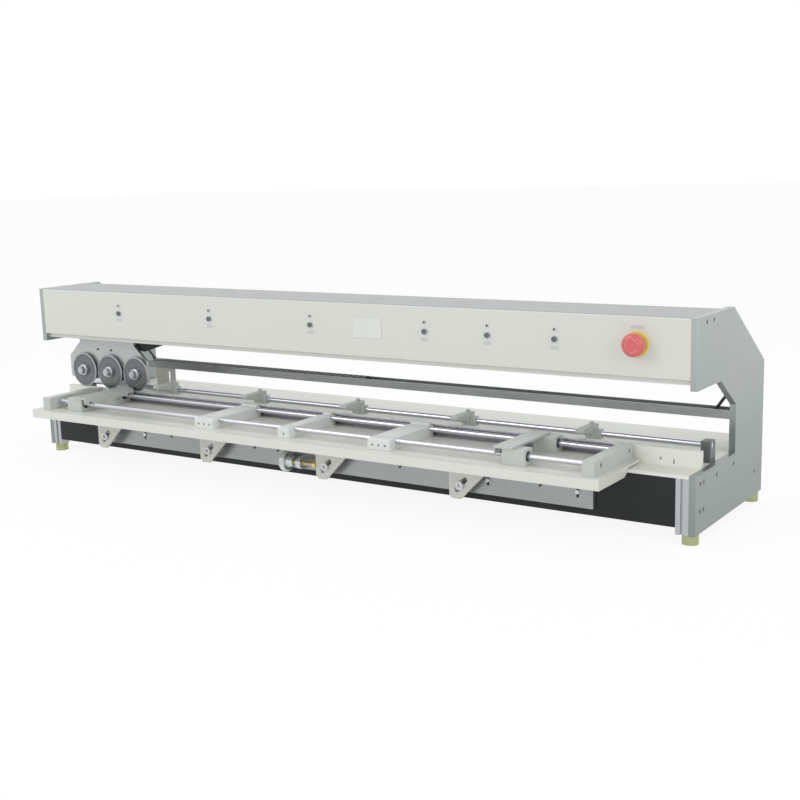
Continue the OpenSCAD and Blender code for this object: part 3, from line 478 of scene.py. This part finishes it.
knob_steel = finish("knob_steel", (0.58, 0.60, 0.60), (0.70, 0.72, 0.72), 0.27, metal=0.8,
    cloud=26, grain=600, bump=0.08, edge=(0.88, 0.89, 0.90), edge_size=0.0005)
knob_low, knob_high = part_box("lift_screw")
knob_length = 0.0262
rod_mask = band(knob_steel, "X", knob_low.x + knob_length, knob_high.x + 0.01, (0.66, 0.52, 0.28))
t = knob_steel.node_tree
surface = t.nodes["Principled BSDF"]
thread_place = add(t, "TexCoord")
thread = add(t, "TexWave", {"Scale": 157}, bands_direction="X")
groove = add(t, "Math", operation="MULTIPLY")
cut = add(t, "Bump", {"Strength": 0.9, "Distance": 0.0006})
join(t,
    (thread_place.outputs["Object"], thread.inputs["Vector"]),
    (thread.outputs["Fac"], groove.inputs[0]),
    (rod_mask, groove.inputs[1]),
    (groove.outputs[0], cut.inputs["Height"]),
    (surface.inputs["Normal"].links[0].from_socket, cut.inputs["Normal"]),
    (cut.outputs["Normal"], surface.inputs["Normal"]))
wear(["rear_rod", "guide_shafts", "linear_rail"], chrome)
wear(["apron_fittings", "panel_fittings", "drive_pulley", "idler_pulley"], turned_steel)
wear(["end_plate_screws", "rod_supports", "carriage_blocks"], dark_steel)
wear(["levelling_feet"], foot_brass)
wear(["thrust_pad"], pad_brass)
wear(["lift_screw"], knob_steel)

# %% [markdown]
# Black parts differ more by gloss than by colour: the front panel is a satin coat, the belt and the
# leads are rubber, and the cable chain is moulded nylon. The emergency stop has a shiny red head on
# a matt yellow collar, and the push buttons are shiny dark caps.

# %% Black, red and yellow parts
panel_black = finish("panel_black", (0.014, 0.016, 0.016), (0.026, 0.028, 0.028), 0.36, cloud=3,
    grain=900, bump=0.14, edge=(0.20, 0.21, 0.21))
rubber = finish("rubber", (0.018, 0.018, 0.018), (0.035, 0.035, 0.035), 0.62, cloud=40, grain=1500,
    bump=0.2)
nylon = finish("nylon", (0.035, 0.036, 0.038), (0.07, 0.07, 0.075), 0.42, cloud=30, grain=1200,
    bump=0.15, edge=(0.30, 0.31, 0.32), edge_size=0.0005)
cap_grey = finish("cap_grey", (0.07, 0.09, 0.09), (0.12, 0.14, 0.14), 0.16, cloud=60, grain=900,
    bump=0.03, edge=(0.42, 0.44, 0.44), edge_size=0.0006, coat=0.5)
stop_red = finish("stop_red", (0.70, 0.10, 0.11), (0.80, 0.16, 0.17), 0.24, cloud=30, grain=900,
    bump=0.03, edge=(0.86, 0.30, 0.30), edge_size=0.0008, coat=0.4)
collar_yellow = finish("collar_yellow", (0.80, 0.60, 0.13), (0.88, 0.70, 0.22), 0.40, cloud=30,
    grain=900, bump=0.06, edge=(0.95, 0.84, 0.45), edge_size=0.0006)
panel_black.node_tree.nodes["Principled BSDF"].inputs["Specular IOR Level"].default_value = 0.25
wear(["base_front_panel", "drive_motor", "carriage_arm"], panel_black)
wear(["drive_belt"], rubber)
wear(["cable_chain", "power_inlet", "estop_stem"], nylon)
wear([f"button_{i}" for i in range(1, 7)], cap_grey)
wear(["estop_head"], stop_red)
wear(["estop_collar"], collar_yellow)
for lead in (carriage_lead, side_lead):
    lead.data.materials.append(rubber)
print("finishes", len(bpy.data.materials))

# %% [markdown]
# Small round fittings, such as screw heads and lamp lenses, are turned shapes. A turned shape is an
# outline spun round an axis, so one helper makes them all from a few radius and depth pairs. Each
# faces the front of the machine.

# %% Turned shapes
def turned(name, outline, centre, body, sides=32):
    """Spins (radius, depth) pairs round an axis along y; depth grows towards the front."""
    x, y, z = centre
    vertices = []
    for radius, depth in outline:
        for k in range(sides):
            a = math.tau * k / sides
            vertices.append((x + radius * math.cos(a), y - depth, z + radius * math.sin(a)))
    faces = wall_faces(len(outline), sides) + end_faces(len(outline), sides)
    return new_mesh(name, vertices, faces, body)


def rounded_plate(name, centre, width, height, corner, thick, body):
    """A thin plate with round corners and a softened rim, flat against a front face."""
    x, y, z = centre
    ring = []
    for cx, cz, start in ((1, 1, 0), (-1, 1, 90), (-1, -1, 180), (1, -1, 270)):
        for step in range(7):
            a = math.radians(start + 15 * step)
            ring.append((cx * (width / 2 - corner) + corner * math.cos(a),
                cz * (height / 2 - corner) + corner * math.sin(a)))
    n = len(ring)
    vertices = []
    layers = [(0, 0), (0, thick * 0.6), (thick * 0.4, thick)]
    for inset, depth in layers:
        for px, pz in ring:
            scale_x = 1 - 2 * inset / width
            scale_z = 1 - 2 * inset / height
            vertices.append((x + px * scale_x, y - depth, z + pz * scale_z))
    faces = wall_faces(len(layers), n) + end_faces(len(layers), n)
    return new_mesh(name, vertices, faces, body, smooth=False)


# %% [markdown]
# Above each push button sits a small signal lamp: a dark lens in a light ring. Below each button is
# a little plate for the name of its function, left blank here, as is the larger plate near the
# middle of the beam.

# %% Lamps and blank plates on the beam
lens_dark = finish("lens_dark", (0.03, 0.03, 0.035), (0.06, 0.06, 0.07), 0.12, cloud=90,
    grain=900, bump=0.02, coat=0.6)
label_grey = finish("label_grey", (0.60, 0.61, 0.61), (0.68, 0.69, 0.69), 0.42, cloud=60,
    grain=900, bump=0.06, edge=(0.80, 0.80, 0.80), edge_size=0.0004)
plate_white = finish("plate_white", (0.78, 0.79, 0.76), (0.84, 0.85, 0.82), 0.30, cloud=30,
    grain=900, bump=0.05, edge=(0.30, 0.31, 0.31), edge_size=0.0009)
stations = [-540, -270, 0, 270, 405, 540]
bezel_front, beam_front = -2, 0
lens_height, label_height, plate_height, stop_label_height = 339.5, 307, 322.5, 351
for number, x in enumerate(stations, 1):
    lens = turned(f"lamp_lens_{number}", [(0.0018, 0.0), (0.0022, 0.0002), (0.0021, 0.0009),
        (0.0014, 0.0015), (0.0005, 0.0017)], place(x, bezel_front, lens_height), "frame")
    lens.data.materials.append(lens_dark)
    label = rounded_plate(f"button_label_{number}", place(x, beam_front, label_height), 0.016,
        0.0065, 0.001, 0.0005, "frame")
    label.data.materials.append(label_grey)
maker_plate = rounded_plate("blank_plate", place(138, beam_front, plate_height), 0.068, 0.041,
    0.003, 0.0006, "frame")
maker_plate.data.materials.append(plate_white)
stop_label = rounded_plate("stop_label", place(694, beam_front, stop_label_height), 0.024, 0.006,
    0.001, 0.0005, "frame")
stop_label.data.materials.append(label_grey)
print("labels", len(stations) + 2)

# %% [markdown]
# The emergency stop's head carries three curved ridges that show which way to twist it free. Each
# is a short arc of a flat ring, so it is made from two rows of points.

# %% Ridges on the emergency stop
ridge_pink = finish("ridge_pink", (0.80, 0.32, 0.33), (0.86, 0.42, 0.42), 0.26, cloud=60,
    grain=900, bump=0.03, coat=0.3)
head_low, head_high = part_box("estop_head")
head_x = (head_low.x + head_high.x) / 2
head_z = (head_low.z + head_high.z) / 2
steps = 12
start_angle, arc_angle = 15, 70
for number in range(3):
    vertices = []
    for depth in (0.0004, -0.00025):
        for radius in (0.0104, 0.0118):
            for k in range(steps + 1):
                a = math.radians(120 * number + start_angle + arc_angle * k / steps)
                vertices.append((head_x + radius * math.cos(a), head_low.y + depth,
                    head_z + radius * math.sin(a)))
    n = steps + 1
    faces = []
    for k in range(steps):
        faces.append((2 * n + k, 2 * n + k + 1, 3 * n + k + 1, 3 * n + k))
        faces.append((k, n + k, n + k + 1, k + 1))
        faces.append((k, k + 1, 2 * n + k + 1, 2 * n + k))
        faces.append((n + k, 3 * n + k, 3 * n + k + 1, n + k + 1))
    faces.append((0, 2 * n, 3 * n, n))
    faces.append((n - 1, 2 * n - 1, 4 * n - 1, 3 * n - 1))
    ridge = new_mesh(f"stop_ridge_{number + 1}", vertices, faces, "estop_head", False)
    ridge.data.materials.append(ridge_pink)
print("stop head centre", round(head_x, 4), round(head_z, 4))

# %% [markdown]
# Socket screws hold the apron bar to the base, and two small ones sit on the carriage plate. A
# socket screw's head is a short drum with a hexagonal hole. The spun outline leaves a hollow in the
# middle, which reads as the socket at this size.

# %% Small socket screws
def socket_screw(name, centre, radius, body):
    """A screw head that stands on a front face."""
    outline = [(radius, 0.0), (radius, radius * 0.7), (radius * 0.86, radius * 0.9),
        (radius * 0.5, radius * 0.9), (radius * 0.46, radius * 0.3), (radius * 0.1, radius * 0.25)]
    screw = turned(name, outline, centre, body, 24)
    screw.data.materials.append(dark_steel)
    return screw


apron_front, apron_screw_height = -8, 57
for number, x in enumerate([-394, -155, -92, 211, 514], 1):
    socket_screw(f"apron_screw_{number}", place(x, apron_front, apron_screw_height), 0.0026,
        "frame")
carriage_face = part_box("carriage_plate")[0].y
carriage_screw_height = 0.2425
for number, x in enumerate([-686, -641], 1):
    socket_screw(f"carriage_screw_{number}", (x / 1000, carriage_face, carriage_screw_height),
        0.0025, "carriage")
print("screws on the apron and the carriage plate")

# %% [markdown]
# Each slider runs on linear bearings, and the mouth of every bearing housing shows a black rubber
# seal round the shaft. A seal is a flat ring across the shaft's axis, so it is spun round an axis
# along x, with its lip nearest the shaft a little proud.

# %% Bearing seals
def seal(name, x, side, y, z, body):
    """A ring that fills a housing's mouth; side is the direction it faces along x."""
    sides = 36
    outline = [(0.0093, 0.0), (0.0092, 0.0006), (0.0078, 0.0008), (0.0066, 0.0016),
        (0.0056, 0.0014), (0.0056, 0.0)]
    vertices = []
    for radius, depth in outline:
        for k in range(sides):
            a = math.tau * k / sides
            vertices.append((x + side * depth, y + radius * math.cos(a), z + radius * math.sin(a)))
    faces = wall_faces(len(outline), sides, closed=True)
    ring = new_mesh(name, vertices, faces, body)
    ring.data.materials.append(rubber)
    return ring


shaft_rows = (("front", -80), ("rear", 37))
shaft_height = 127
housing_ends = (("left", 4.7, -1), ("right", 39.3, 1))
for body, slider_left_end in (("slider_left", -622), ("slider_right", 485)):
    for row, y in shaft_rows:
        for word, offset, side in housing_ends:
            mouth = place(slider_left_end + offset, y, shaft_height)
            seal(f"{body}_{row}_{word}_seal", mouth[0], side, *mouth[1:], body)
